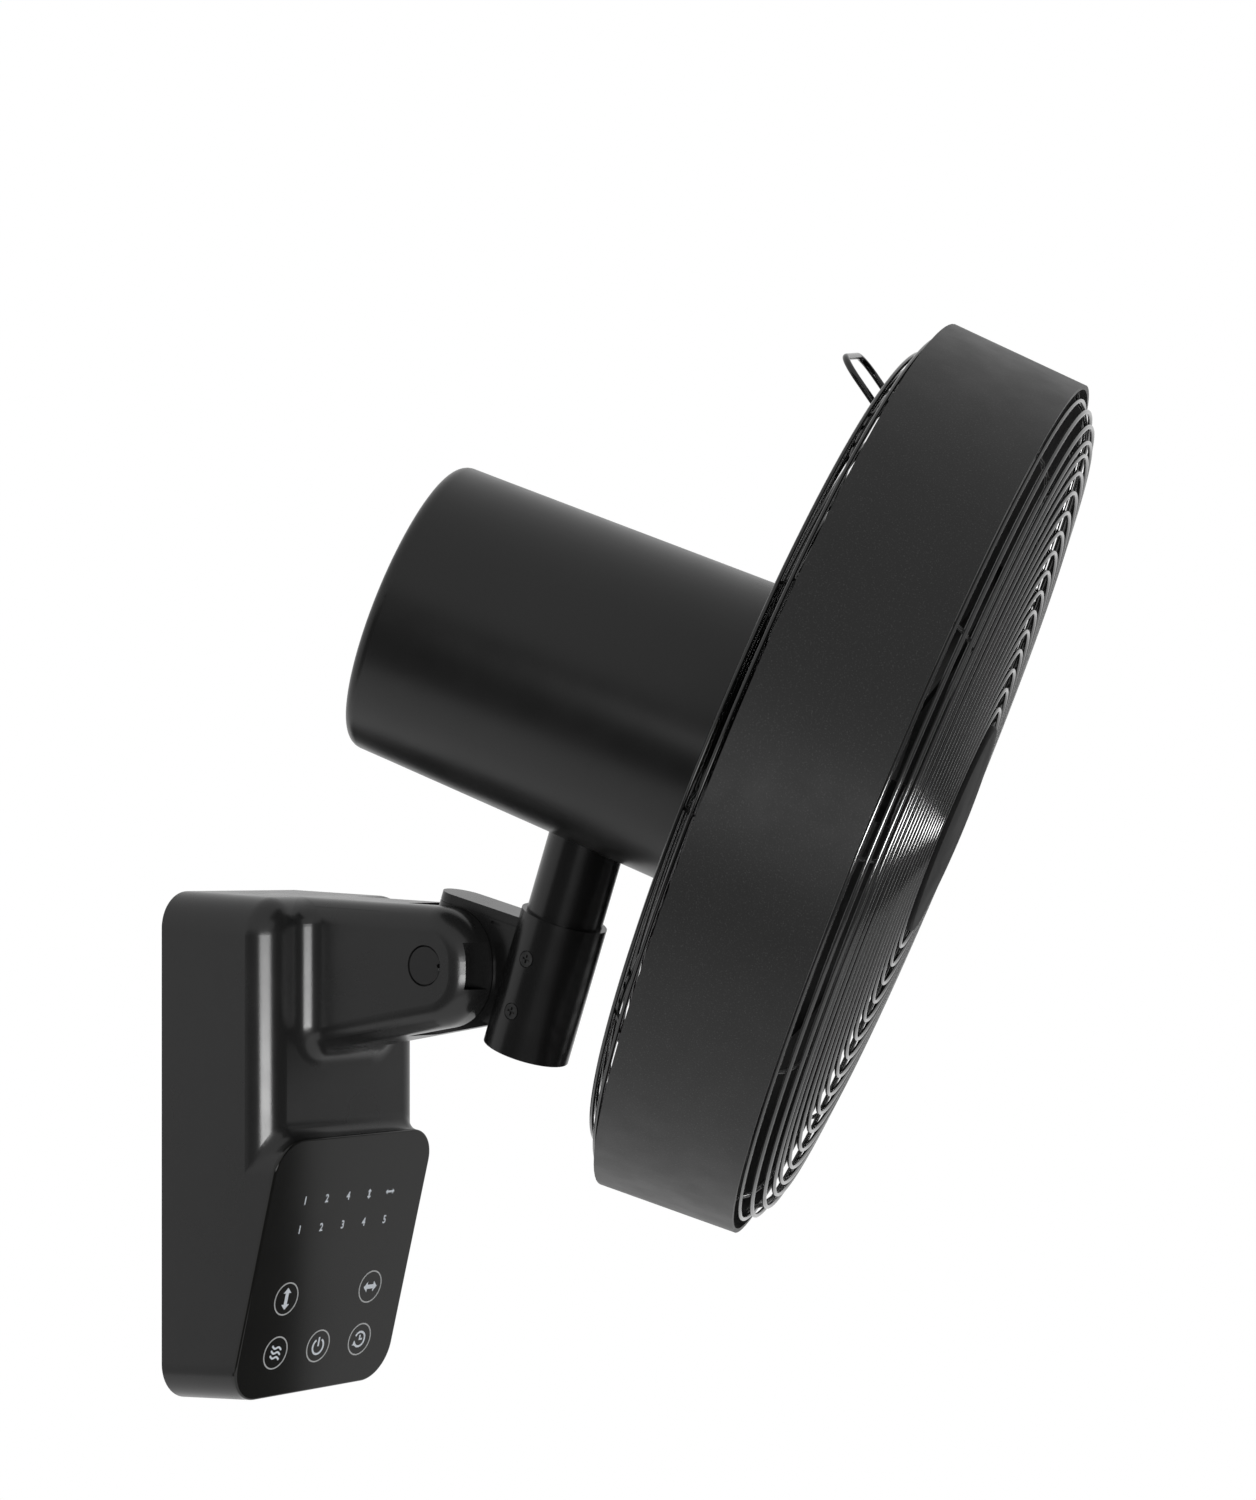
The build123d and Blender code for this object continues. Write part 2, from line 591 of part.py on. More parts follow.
def neck_gear():
    """Fixed gear at the pipe's top, which the pan pinion walks round."""
    mesh = 90 + PAN_REST
    gear = extrude(gear_face(NECK_GEAR_TEETH, mesh), NECK_GEAR_W) - disc(PIPE_R, -1, NECK_GEAR_W + 1)
    return NECK * Pos(0, 0, NECK_H + NECK_GEAR_Z) * gear


# ------------------------------------------------------------------ panning head, pan frame
def can_inner_r(s):
    return CAN_R_BACK + CAN_TAPER * (s - CAN_BACK) - CAN_T


def can_space():
    """Room inside the motor housing, in the head's axial frame."""
    back = CAN_BACK + CAN_T
    return turned([(0, back), (can_inner_r(back) - 5, back), (can_inner_r(back), back + 5),
                   (can_inner_r(CAN_FRONT), CAN_FRONT), (0, CAN_FRONT)])


def motor_housing():
    """Large round can round the fan motor, open at the front, with the neck opening below."""
    outer_front = can_inner_r(CAN_FRONT) + CAN_T
    can = turned([(0, CAN_BACK), (CAN_R_BACK, CAN_BACK), (outer_front, CAN_FRONT), (0, CAN_FRONT)])
    rear = can.edges().filter_by(GeomType.CIRCLE).sort_by(Axis.Z)[0]
    can = fillet(rear, CAN_REAR_R)
    can -= turned([(0, CAN_BACK + CAN_T), (can_inner_r(CAN_BACK + CAN_T) - 5, CAN_BACK + CAN_T),
                   (can_inner_r(CAN_BACK + 5 + CAN_T), CAN_BACK + 5 + CAN_T),
                   (can_inner_r(CAN_FRONT + 1), CAN_FRONT + 1), (0, CAN_FRONT + 1)])
    return HEAD * can - PAN * disc(PIPE_R + CAN_HOLE_GAP, -2 * CAN_R_BACK, BLOCK_TOP)


def pan_bracket():
    """Casting in the belly of the can: neck bearing, pinion plate and motor seat."""
    foot = BLOCK_TOP - BLOCK_H
    post = (-PAN_POST_W / 2, PAN_POST_W / 2)
    block = slab((-BLOCK_SIDE, BLOCK_SIDE), (-BLOCK_SIDE, BLOCK_BACK), (foot, BLOCK_TOP))
    block += slab(post, (BLOCK_BACK - PAN_POST_T, BLOCK_BACK), (BLOCK_TOP - 1, PAN_PLATE_Z))
    block += slab(post, (PIPE_R + 1, BLOCK_BACK), (PAN_PLATE_Z, PAN_PLATE_Z + PAN_PLATE_T))
    block -= disc(PIPE_R + RUN_GAP, foot - 1, BLOCK_TOP + 1)
    block -= disc(COLLAR_R + 1, foot - 1, COLLAR_Z + COLLAR_T + 0.2)
    block -= Pos(0, PAN_MESH, 0) * disc(SERVO_SHAFT_R + 1, BLOCK_TOP + 1, 0)
    return PAN * block & HEAD * can_space()


def pan_motor():
    seat = PAN_PLATE_Z + PAN_PLATE_T
    return PAN * Pos(0, PAN_MESH, seat) * servo(8)


def pan_pinion():
    """Pinion and shaft that walk the head round the neck gear; a gap faces the neck."""
    gear = extrude(gear_face(PINION_TEETH, -90 + 180 / PINION_TEETH), NECK_GEAR_W)
    pinion = Pos(0, 0, NECK_GEAR_Z) * gear + disc(SERVO_SHAFT_R, NECK_GEAR_Z, PAN_PLATE_Z + PAN_PLATE_T + 7)
    return PAN * Pos(0, PAN_MESH, 0) * pinion


# ------------------------------------------------------------------ fan motor, axial frame
FRAME_BACK = CAN_BACK + CAN_T
REAR_BEARING = FRAME_BACK + 1.5
FRONT_PLATE_BACK = CAN_FRONT - FRONT_PLATE_T


def motor_frame():
    """Pressed cup on the can's rear wall that holds the stator and the rear bearing."""
    cup = disc(FRAME_R, FRAME_BACK, FRAME_BACK + FRAME_L)
    cup -= disc(FRAME_R - FRAME_T, FRAME_BACK + 9, FRAME_BACK + FRAME_L + 1)
    cup -= disc(BEARING_R, REAR_BEARING, FRAME_BACK + 10)
    return HEAD * cup


def stator():
    """Laminated core with its windings."""
    start = FRAME_BACK + 12
    core = ring(FRAME_R - FRAME_T, STATOR_IN_R, start, start + STATOR_L)
    coils = ring(FRAME_R - FRAME_T - 6, STATOR_IN_R + 6, start - 2.5, start + STATOR_L + 2.5)
    return HEAD * (core + coils)


def bearing(start):
    return HEAD * ring(BEARING_R, SHAFT_R + RUN_GAP, start, start + BEARING_T)


def front_plate():
    """Plate that closes the can and carries the front bearing and the rear guard."""
    plate = turned([(0, FRONT_PLATE_BACK), (can_inner_r(FRONT_PLATE_BACK), FRONT_PLATE_BACK),
                    (can_inner_r(CAN_FRONT), CAN_FRONT), (0, CAN_FRONT)])
    plate += disc(NECK_RING_R, CAN_FRONT - 1, CAN_FRONT + NECK_RING_L)
    plate -= disc(NECK_RING_R - 8, CAN_FRONT + BEARING_T - 2, CAN_FRONT + NECK_RING_L + 1)
    plate -= disc(BEARING_R, CAN_FRONT - 2, CAN_FRONT + NECK_RING_L)
    plate -= disc(SHAFT_R + 2, FRONT_PLATE_BACK - 1, CAN_FRONT)
    return HEAD * plate


def shaft():
    return HEAD * disc(SHAFT_R, REAR_BEARING + 0.5, HUB_FRONT + 6)


def rotor_core():
    start = FRAME_BACK + 12
    return HEAD * ring(ROTOR_R, SHAFT_R, start, start + STATOR_L)


# ------------------------------------------------------------------ guards and drum, axial frame
def wire_ring(radius, z):
    """Welded guard ring, drawn as an even many-sided hoop of square wire."""
    turn = 180 / RING_SIDES
    hoop = RegularPolygon(radius + WIRE / 2, RING_SIDES, rotation=turn) - RegularPolygon(
        radius - WIRE / 2, RING_SIDES, rotation=turn)
    return Pos(0, 0, z - WIRE / 2) * extrude(hoop, WIRE)


def rib(points):
    """Radial wire that follows (radius, z) points, standing along +X."""
    upper = [(r, z + WIRE / 2) for r, z in points]
    lower = [(r, z - WIRE / 2) for r, z in reversed(points)]
    return extrude(Plane.XZ * make_face(Polyline(*(upper + lower), close=True)), WIRE / 2, both=True)


def even_radii(first, last, count):
    """Radii of even rings after the first one, down to the last."""
    return [first - (first - last) * n / count for n in range(1, count + 1)]


def guard(plate, path, rings):
    """Guard fused from its plate, its ribs along a (radius, z) path and its (radius, z) rings."""
    ribs = [Rot(0, 0, 90 + 360 / RIBS * n) * rib(path) for n in range(RIBS)]
    return HEAD * plate.fuse(*ribs, *[wire_ring(r, z) for r, z in rings])


CAP_SEAT = DRUM_FRONT + FRONT_RISE - WIRE / 2 + 0.5      # cap's underside, clear of the ribs


def front_guard():
    """Domed front guard: rings on radial ribs, with a plate under the cap."""
    weld = WIRE - 0.3
    inner_face = DRUM_R_FRONT - DRUM_T
    dome = [(DRUM_R_FRONT - into, DRUM_FRONT + rise) for into, rise in FRONT_DOME]
    dome.append((CAP_R - 0.5, DRUM_FRONT + FRONT_RISE))
    radii = [DRUM_R_FRONT - into for into in FRONT_RIM_RINGS]
    radii += even_radii(radii[-1], CAP_R + CAP_RING_GAP, FRONT_FACE_RINGS)
    path = [(inner_face, DRUM_FRONT - weld - 2), (inner_face - 4, DRUM_FRONT - weld)]
    path += [(r, z - weld) for r, z in dome[1:]] + [(CAP_R - 12, dome[-1][1] - weld)]
    plate = disc(CAP_R - 3, CAP_SEAT - WIRE, CAP_SEAT)
    return guard(plate, path, [(r, along(dome, r)) for r in radii])


def front_cap():
    """Smooth domed cap at the middle of the front guard."""
    edge = CAP_SEAT + CAP_T
    bulge = (CAP_R ** 2 + CAP_RISE ** 2) / (2 * CAP_RISE)
    halfway = (CAP_R / 2, edge + CAP_RISE - bulge + sqrt(bulge ** 2 - (CAP_R / 2) ** 2))
    crown = ThreePointArc((CAP_R, edge), halfway, (0, edge + CAP_RISE))
    outline = make_face(Polyline((0, edge + CAP_RISE), (0, CAP_SEAT), (CAP_R, CAP_SEAT), (CAP_R, edge)) + crown)
    rim = [v for v in outline.vertices() if v.X > CAP_R / 2 and v.Y > CAP_SEAT + CAP_T / 2]
    return HEAD * revolve(Plane.XZ * fillet(rim, CAP_EDGE_R), Axis.Z)


def rear_dish():
    """Line of the rear guard's ribs as (radius, z), from the drum in to the clamping plate."""
    dish = [(DRUM_R_BACK - into, DRUM_BACK - deep) for into, deep in REAR_DISH]
    return dish + [(REAR_PLATE_R, CAN_FRONT + REAR_PLATE_T)]


def rear_radii():
    rim = [DRUM_R_BACK - into for into in REAR_RIM_RINGS]
    return rim + even_radii(rim[-1], can_inner_r(CAN_FRONT) + CAN_T + CAN_RING_GAP, REAR_FACE_RINGS)


def rear_guard():
    """Shallow rear guard: rings on radial ribs round a clamping plate."""
    dish = rear_dish()
    path = [(dish[0][0], DRUM_BACK - WIRE / 2)] + dish[1:] + [(REAR_PLATE_R - 6, dish[-1][1])]
    plate = ring(REAR_PLATE_R, NECK_RING_R + 0.1, CAN_FRONT, CAN_FRONT + REAR_PLATE_T)
    return guard(plate, path, [(r, along(dish, r) - WIRE + 0.3) for r in rear_radii()])


def guard_nut():
    """Ring nut that clamps the rear guard on the front plate."""
    start = CAN_FRONT + REAR_PLATE_T
    return HEAD * ring(NUT_R, NECK_RING_R + 0.1, start, start + 7)


def guard_handle():
    """Wire grip at the top of the rear guard."""
    foot_r = rear_radii()[HANDLE_RING]
    foot_y = sqrt(foot_r ** 2 - (HANDLE_W / 2) ** 2)
    foot_z = along(rear_dish(), foot_r) - 1.5 * WIRE + 0.3 - 0.7 * HANDLE_R
    half = HANDLE_W / 2
    path = FilletPolyline((-half, foot_y, foot_z), (-half, foot_y + HANDLE_OUT, foot_z - HANDLE_BACK),
                          (half, foot_y + HANDLE_OUT, foot_z - HANDLE_BACK), (half, foot_y, foot_z),
                          radius=HANDLE_BEND_R)
    grip = sweep(Plane(origin=path @ 0, z_dir=path % 0) * Circle(HANDLE_R), path)
    return HEAD * grip


def drum_band():
    """Tapered drum round the blades."""
    return HEAD * turned([(DRUM_R_BACK, DRUM_BACK), (DRUM_R_FRONT, DRUM_FRONT),
                          (DRUM_R_FRONT - DRUM_T, DRUM_FRONT), (DRUM_R_BACK - DRUM_T, DRUM_BACK)])


# ------------------------------------------------------------------ blades, axial frame
def blade_section(radius, chord, pitch):
    """Cambered blade section at a radius, standing square to +X."""
    camber = chord * 0.07
    spots = [-0.5, -0.25, 0.0, 0.25, 0.5]
    middle = [(chord * t, camber * (1 - 4 * t * t)) for t in spots]
    upper = [(u, v + BLADE_T / 2) for u, v in middle]
    lower = [(u, v - BLADE_T / 2) for u, v in reversed(middle)]
    turn = radians(pitch)
    corners = []
    for u, v in upper + lower:
        across = u * cos(turn) - v * sin(turn)
        forward = u * sin(turn) + v * cos(turn)
        corners.append((radius, across, BLADE_MID + forward))
    return make_face(Polyline(*corners, close=True))


def fan_blades():
    """Hub cup with its swept blades."""
    hub = disc(HUB_R, HUB_BACK, HUB_FRONT) - disc(HUB_R - HUB_WALL, HUB_BACK - 1, HUB_FRONT - HUB_WALL)
    hub += disc(9, HUB_BACK + 6, HUB_FRONT - 1)
    hub -= disc(SHAFT_R, HUB_BACK, HUB_FRONT + 1)
    tip_r = DRUM_R_FRONT - DRUM_T - BLADE_TIP_GAP
    stations = [(HUB_R - HUB_WALL + 0.5, *BLADE_ROOT), *BLADE_BELLY, (tip_r + 1, *BLADE_TIP)]
    blade = loft([blade_section(*station) for station in stations], ruled=True)
    blade = blade & disc(tip_r, CAN_FRONT, DRUM_FRONT)
    return HEAD * hub.fuse(*[Rot(0, 0, 90 + 360 / BLADES * n) * blade for n in range(BLADES)])


def blade_nut():
    return HEAD * (disc(11, HUB_FRONT, HUB_FRONT + 10) - disc(SHAFT_R, HUB_FRONT - 1, HUB_FRONT + 6))


# ------------------------------------------------------------------ output
def build():
    return {
        "wall_bracket": wall_bracket(),
        "back_plate": back_plate(),
        "base_housing": base_housing(),
        "panel_lens": panel_lens(),
        "touch_board": touch_board(),
        "power_board": power_board(),
        "cord_gland": cord_gland(),
        "pivot_pin": pivot_pin(),
        "pivot_plug_left": pivot_plug(-1),
        "pivot_plug_right": pivot_plug(1),
        "tilt_motor": tilt_motor(),
        "tilt_pinion": tilt_pinion(),
        "tilt_knuckle": knuckle(),
        "knuckle_cover": knuckle_cover(),
        "socket_screw_upper": socket_screw(SOCKET_SCREWS[0]),
        "socket_screw_lower": socket_screw(SOCKET_SCREWS[1]),
        "neck_pipe": neck_pipe(),
        "thrust_collar": thrust_collar(),
        "neck_gear": neck_gear(),
        "motor_housing": motor_housing(),
        "pan_bracket": pan_bracket(),
        "pan_motor": pan_motor(),
        "pan_pinion": pan_pinion(),
        "motor_frame": motor_frame(),
        "stator": stator(),
        "bearing_rear": bearing(REAR_BEARING),
        "front_plate": front_plate(),
        "bearing_front": bearing(CAN_FRONT - 2),
        "rear_guard": rear_guard(),
        "guard_nut": guard_nut(),
        "guard_handle": guard_handle(),
        "drum_band": drum_band(),
        "front_guard": front_guard(),
        "front_cap": front_cap(),
        "motor_shaft": shaft(),
        "rotor_core": rotor_core(),
        "fan_blades": fan_blades(),
        "blade_nut": blade_nut(),
    }


for name, shape in build().items():
    export_step(shape, f"parts/{name}.step")
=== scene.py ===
"""Looks of the wall mounted fan: satin black mouldings, a speckled drum and round guard wires.

Everything is in metres in the row frame: the wall is y = 0, the fan stands out along -Y, +Z is up.
Lengths written in millimetres are turned into metres by MM.
"""
import json
import math

import bmesh
import bpy
from mathutils import Matrix, Vector

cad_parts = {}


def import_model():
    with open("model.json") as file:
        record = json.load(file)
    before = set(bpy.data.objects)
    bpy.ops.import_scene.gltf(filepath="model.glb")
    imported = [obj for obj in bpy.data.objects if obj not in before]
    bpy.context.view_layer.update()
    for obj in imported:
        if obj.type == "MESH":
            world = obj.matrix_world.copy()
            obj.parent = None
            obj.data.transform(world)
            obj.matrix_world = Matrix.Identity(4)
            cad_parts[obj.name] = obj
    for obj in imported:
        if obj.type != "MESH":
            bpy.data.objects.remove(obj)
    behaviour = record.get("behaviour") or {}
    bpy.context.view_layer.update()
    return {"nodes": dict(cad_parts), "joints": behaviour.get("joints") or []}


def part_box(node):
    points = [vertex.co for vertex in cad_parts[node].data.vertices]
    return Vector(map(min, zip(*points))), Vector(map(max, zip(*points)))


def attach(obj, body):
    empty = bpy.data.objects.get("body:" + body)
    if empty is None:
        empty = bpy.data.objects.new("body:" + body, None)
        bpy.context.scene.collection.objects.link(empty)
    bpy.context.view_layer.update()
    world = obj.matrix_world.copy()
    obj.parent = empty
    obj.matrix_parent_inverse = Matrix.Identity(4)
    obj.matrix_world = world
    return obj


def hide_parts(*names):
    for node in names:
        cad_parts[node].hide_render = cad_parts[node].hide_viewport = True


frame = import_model()
nodes = frame["nodes"]
joints = {joint["name"]: joint for joint in frame["joints"]}

# ------------------------------------------------------------------ driving dimensions
MM = 0.001

# wire of both guards, in metres
WIRE_R = 1.1 * MM
WELD = 2 * WIRE_R - 0.3 * MM    # middles of ring and rib apart where they cross
WIRE_STEPS = 10                 # steps round the wire
RING_STEPS = 192                # steps round a guard ring
RIBS = 12
FRONT_RIB = 87.3                # degrees: the front ribs stand slightly turned in the photograph
REAR_RIB = 90.0

# front guard, mm: rings in from the drum's edge, and its dome as (in from the edge, rise)
FRONT_RIM_RINGS = (7.5, 11.2, 17.3, 24.4, 30.7, 39.1, 48.5)
FRONT_FACE_RINGS = 11
FRONT_DOME = ((0.0, 0.0), (7.5, 0.5), (11.2, 5.2), (17.3, 8.8), (24.4, 10.7), (48.5, 13.2),
              (98.4, 16.2))
FRONT_RISE = 19.0               # the dome's last point, under the cap's rim
CAP_OVERLAP = 0.5               # that point, in from the cap's rim
CAP_RING_GAP = 8.5              # innermost ring, out from the cap's rim
FRONT_RIB_FOOT = ((2.2, 2.0), (6.2, 0.0))       # (in from the drum's edge, down into it)
FRONT_RIB_END = 12.0            # in from the cap's rim
CAP_PLATE_IN = 3.0              # plate under the cap, in from the cap's rim
AXIS_HOLE_R = 0.2               # that plate stays off the axis

# rear guard, mm: rings in from the drum's edge, and its dish as (in from the edge, depth)
REAR_RIM_RINGS = (8.3, 18.4, 26.1, 36.5, 44.8, 60.5)
REAR_FACE_RINGS = 6
REAR_DISH = ((1.5, 0.0), (8.3, 1.2), (18.4, 7.4), (26.1, 8.6), (36.5, 10.1), (102.5, 14.1))
CAN_RING_GAP = 3.8              # innermost ring, out from the can
REAR_RIB_FOOT = (3.0, 0.2)      # (in from the drum's edge, behind it)
REAR_RIB_END_R = 56.0
REAR_PLATE_R = 62.0             # plate that the guard nut clamps
REAR_PLATE_HOLE_R = 30.1
REAR_PLATE_T = 1.8

# small turned parts, mm
TURNED_STEPS = 96
PLUG = ((0.1, -1.15), (9.7, -1.15), (9.7, 0.75), (9.3, 1.12), (0.1, 1.12))      # (radius, z)
PLUG_NOTCH = (71, 72, 73)       # steps at which the plug's rim is notched
PLUG_NOTCH_R = 8.2
GLAND_HOLE_R = 4.0
GLAND_R = 5.9
GLAND_FLANGE_R = 7.4
GLAND_FLANGE = (3.0, 0.5)       # the flange's faces, down from the solid's top
GLAND_END = 2.3                 # lower end, up from the solid's bottom
FOOT_SLOPE = 3.0                # degrees: rise of the housing's underside

# touch panel, mm: datum on the power key, and the places of its keys and marks
PANEL_DATUM = (0.0, -52.7, -104.35)
PANEL_TILT = 14.75              # degrees
KEY_PITCH = 32.74
UPPER_KEYS = 28.94
MARK_PITCH = 16.6
LOWER_MARKS = 65.6
UPPER_MARKS = 81.0
INK_LIFT = 0.03                 # printed marks over the lens
INK_T = 0.05

# printed keys and marks, mm and degrees
KEY_R = 8.5
KEY_ARC = (0, 359.5, 72)        # start, end and steps of a key's ring
KEY_LINE = 0.75
MARK_LINE = 1.15
POWER_ARC = (-0.3, 4.1, 120, 420)               # height of its middle, radius, start and end
POWER_BAR = (-0.2, 4.8)
CLOCK_ARC = (4.0, -150, 150)                    # radius, start and end
CLOCK_HANDS = ((-0.5, 2.4), (-0.5, -0.5), (2.1, -0.5), (2.1, 0.5), (0.5, 0.5), (0.5, 2.4))
CLOCK_HEAD = ((-1.7, -1.0), (1.5, -1.1), (-0.5, 1.7))
WAVE_LINE = 1.1
WAVE_SHIFTS = (-2.6, 0.0, 2.6)                  # waves under each other
WAVE_SLANT = 0.1                                # sideways shift of a wave for its shift in height
WAVE_HALF = 3.6
WAVE_FALL = 1.2
WAVE_RISE = 0.75
WAVE_TURNS = 1.1                                # half turns of the sine, each side of the middle
WAVE_STEPS = 24
# double arrows: place, half length, head, half width of the shaft, upright or across
KEY_ARROWS = ((-KEY_PITCH, UPPER_KEYS, 5.9, 2.9, 1.15, True),
              (KEY_PITCH, UPPER_KEYS, 5.2, 2.9, 1.15, False))
MARK_ARROWS = ((MARK_PITCH, UPPER_MARKS, 2.7, 1.5, 0.55, True),
               (2 * MARK_PITCH, UPPER_MARKS, 3.4, 1.5, 0.55, False))
NUMERAL_H = 4.4
NUMERAL_FONT = 1.38             # font size of a numeral 1 high
NUMERAL_BOLD = 0.14
NUMERAL_WIDTH = 0.85

# studio, metres
FLOOR_R = 1.75
FLOOR_Z = -1.1
FLOOR_TONE = 0.9
FLOOR_GLOW = 0.4                # for background rays only
STRIP_AT = (-1.68, -1.56, -0.19)        # strip softboxes beside the camera
STRIP_AIM = (-0.05, -0.07, 0.0)
STRIP_SIZE = (1.65, 0.38)
ROOM_SEEN = 0.85                # room in mirrored and clear rays
ROOM_SOFT = 0.7                 # room as soft light
# its dark part round the photographer, degrees: azimuth from the front towards +X, and height
DARK_MIDDLE = -40.5
DARK_HALF = 84.1                # at eye level; it widens downwards
DARK_WIDENS = 0.47
DARK_TOP = 8.0
DARK_SOFT = (0.2, 8.0)          # softness of its sides and of its top
DARK_LEVEL = 0.13

# photograph's view
CAMERA_AT = (-1.4006, -1.2759, 0.14665)
CAMERA_YAW = math.radians(36.2)         # view direction from +X towards +Y
FOCAL_PX = 3593.5
CENTRE_PX = (628.0, 859.0)
PHOTO_PX = (1256.0, 1500.0)
SENSOR = 36.0                   # mm, upright

# surfaces: parts of a noise over which a ramp runs, noise per metre, and depth of the grain
TONE_BAND = (0.3, 0.7)
GLOSS_BAND = (0.35, 0.65)
GLOSS_DRIFT = 40.0
DRUM_GLOSS_DRIFT = 60.0
GRAIN_DEPTH = 0.1 * MM


# ------------------------------------------------------------------ shader helpers
def new_material(name):
    """Material with its node tree and its shader."""
    material = bpy.data.materials.new(name)
    material.use_nodes = True
    tree = material.node_tree
    return material, tree, tree.nodes["Principled BSDF"]


def add(tree, kind, **values):
    """New node; a value goes to the node's own setting of that name, or else to its input."""
    node = tree.nodes.new(kind)
    for key, value in values.items():
        if hasattr(node, key):
            setattr(node, key, value)
        else:
            node.inputs[key.replace("_", " ")].default_value = value
    return node


def math_node(tree, operation, *values):
    """Result of a sum on sockets and plain numbers."""
    node = add(tree, "ShaderNodeMath", operation=operation)
    for socket, value in zip(node.inputs, values):
        if isinstance(value, (int, float)):
            socket.default_value = value
        else:
            tree.links.new(value, socket)
    return node.outputs[0]


def noise(tree, scale, detail=3.0):
    """Noise fixed to the piece, with so many grains to the metre."""
    where = add(tree, "ShaderNodeTexCoord")
    texture = add(tree, "ShaderNodeTexNoise", Scale=scale, Detail=detail)
    tree.links.new(where.outputs["Object"], texture.inputs["Vector"])
    return texture.outputs["Fac"]


def spread(tree, factor, band, colours):
    """Colour ramp between two colours over part of a factor."""
    ramp = add(tree, "ShaderNodeValToRGB")
    tree.links.new(factor, ramp.inputs["Fac"])
    for element, place, colour in zip(ramp.color_ramp.elements, band, colours):
        element.position = place
        element.color = (*colour, 1.0)
    return ramp.outputs["Color"]


def bump(tree, shader, height, strength):
    """Fine relief on a shader from a height."""
    node = add(tree, "ShaderNodeBump", Strength=strength, Distance=GRAIN_DEPTH)
    tree.links.new(height, node.inputs["Height"])
    tree.links.new(node.outputs["Normal"], shader.inputs["Normal"])


def grey(value, tint=0.0):
    """Grey with its blue raised by a share."""
    return (value, value, value * (1.0 + tint))


# ------------------------------------------------------------------ materials
def grained(name, dark, light, roughness, grain, strength, metallic=0.0, specular=0.5, drift=0.07):
    """Moulded or painted surface: fine grain in its bump, a slight drift in colour and gloss."""
    material, tree, shader = new_material(name)
    shader.inputs["Metallic"].default_value = metallic
    shader.inputs["Specular IOR Level"].default_value = specular
    tone = spread(tree, noise(tree, grain * 0.5), TONE_BAND, (dark, light))
    tree.links.new(tone, shader.inputs["Base Color"])
    smoother, rougher = roughness * (1 - drift), roughness * (1 + drift)
    gloss = spread(tree, noise(tree, GLOSS_DRIFT), GLOSS_BAND, (grey(smoother), grey(rougher)))
    tree.links.new(gloss, shader.inputs["Roughness"])
    bump(tree, shader, noise(tree, grain), strength)
    return material


def speckled(name, dark, pale, band, roughness, fleck, peel, strength, specular):
    """Drum's powder paint: near-black with fine pale flecks and a slight orange peel."""
    material, tree, shader = new_material(name)
    shader.inputs["Specular IOR Level"].default_value = specular
    flecks = spread(tree, noise(tree, fleck, detail=2.0), band, (dark, pale))
    tree.links.new(flecks, shader.inputs["Base Color"])
    smoother, rougher = roughness
    gloss = spread(tree, noise(tree, DRUM_GLOSS_DRIFT), GLOSS_BAND, (grey(smoother), grey(rougher)))
    tree.links.new(gloss, shader.inputs["Roughness"])
    bump(tree, shader, noise(tree, peel), strength)
    return material


def ink(name, colour, faint=0.92, halftone=3000.0, roughness=0.5):
    """Printed mark on the lens, with a faint halftone drift."""
    material, tree, shader = new_material(name)
    paler = tuple(faint * c for c in colour)
    tone = spread(tree, noise(tree, halftone), TONE_BAND, (paler, colour))
    tree.links.new(tone, shader.inputs["Base Color"])
    shader.inputs["Roughness"].default_value = roughness
    return material


# by the solids' material: name, dark and light colour, roughness, grains per metre, bump strength
SATIN = (grey(0.007), grey(0.009))
MATERIALS = {
    "housing_plastic": grained("housing satin", *SATIN, 0.26, 2600.0, 0.03, specular=0.34),
    "can_plastic": grained("can satin", *SATIN, 0.30, 2600.0, 0.03, specular=0.34),
    "panel_gloss": grained("panel gloss", grey(0.007, -0.1), grey(0.008, -0.1), 0.05, 60.0, 0.0,
                           specular=0.32),
    "black_metal": grained("knuckle paint", *SATIN, 0.24, 2200.0, 0.03, specular=0.34),
    "drum_paint": speckled("drum paint", grey(0.005), grey(0.026), band=(0.56, 0.74),
                           roughness=(0.43, 0.48), fleck=1500.0, peel=1100.0, strength=0.35,
                           specular=0.36),
    "guard_wire": grained("guard wire", grey(0.004), grey(0.006), 0.13, 900.0, 0.01),
    "blade_plastic": grained("blade satin", grey(0.003), grey(0.004), 0.60, 1800.0, 0.05,
                             specular=0.02),
    "zinc_steel": grained("zinc steel", grey(0.42, 0.02), grey(0.55, 0.03), 0.35, 300.0, 0.08,
                          metallic=1.0),
    "turned_steel": grained("turned steel", grey(0.52), grey(0.60), 0.25, 500.0, 0.05,
                            metallic=1.0),
    "cast_zinc": grained("cast zinc", grey(0.38), grey(0.48), 0.45, 700.0, 0.15, metallic=1.0),
    "pressed_aluminium": grained("aluminium", grey(0.62), grey(0.70), 0.35, 400.0, 0.05,
                                 metallic=1.0),
    "laminations": grained("laminations", (0.20, 0.19, 0.18), (0.30, 0.28, 0.26), 0.5, 900.0, 0.2,
                           metallic=0.6),
    "board": grained("board green", (0.01, 0.10, 0.04), (0.015, 0.14, 0.055), 0.35, 500.0, 0.05),
    "rubber_black": grained("rubber", grey(0.010), grey(0.014), 0.62, 1200.0, 0.15),
    "gear_plastic": grained("gear acetal", (0.66, 0.64, 0.58), (0.72, 0.70, 0.64), 0.38, 900.0,
                            0.04),
}
CAP_MATT = grained("cap matt", grey(0.016), grey(0.020), 0.60, 2600.0, 0.03, specular=0.04)
SCREW_BLACK = grained("blackened screw", grey(0.030), grey(0.045), 0.30, 900.0, 0.02, metallic=0.8)
RING_INK = ink("ring ink", (0.52, 0.53, 0.53))
MARK_INK = ink("mark ink", (0.80, 0.85, 0.91))

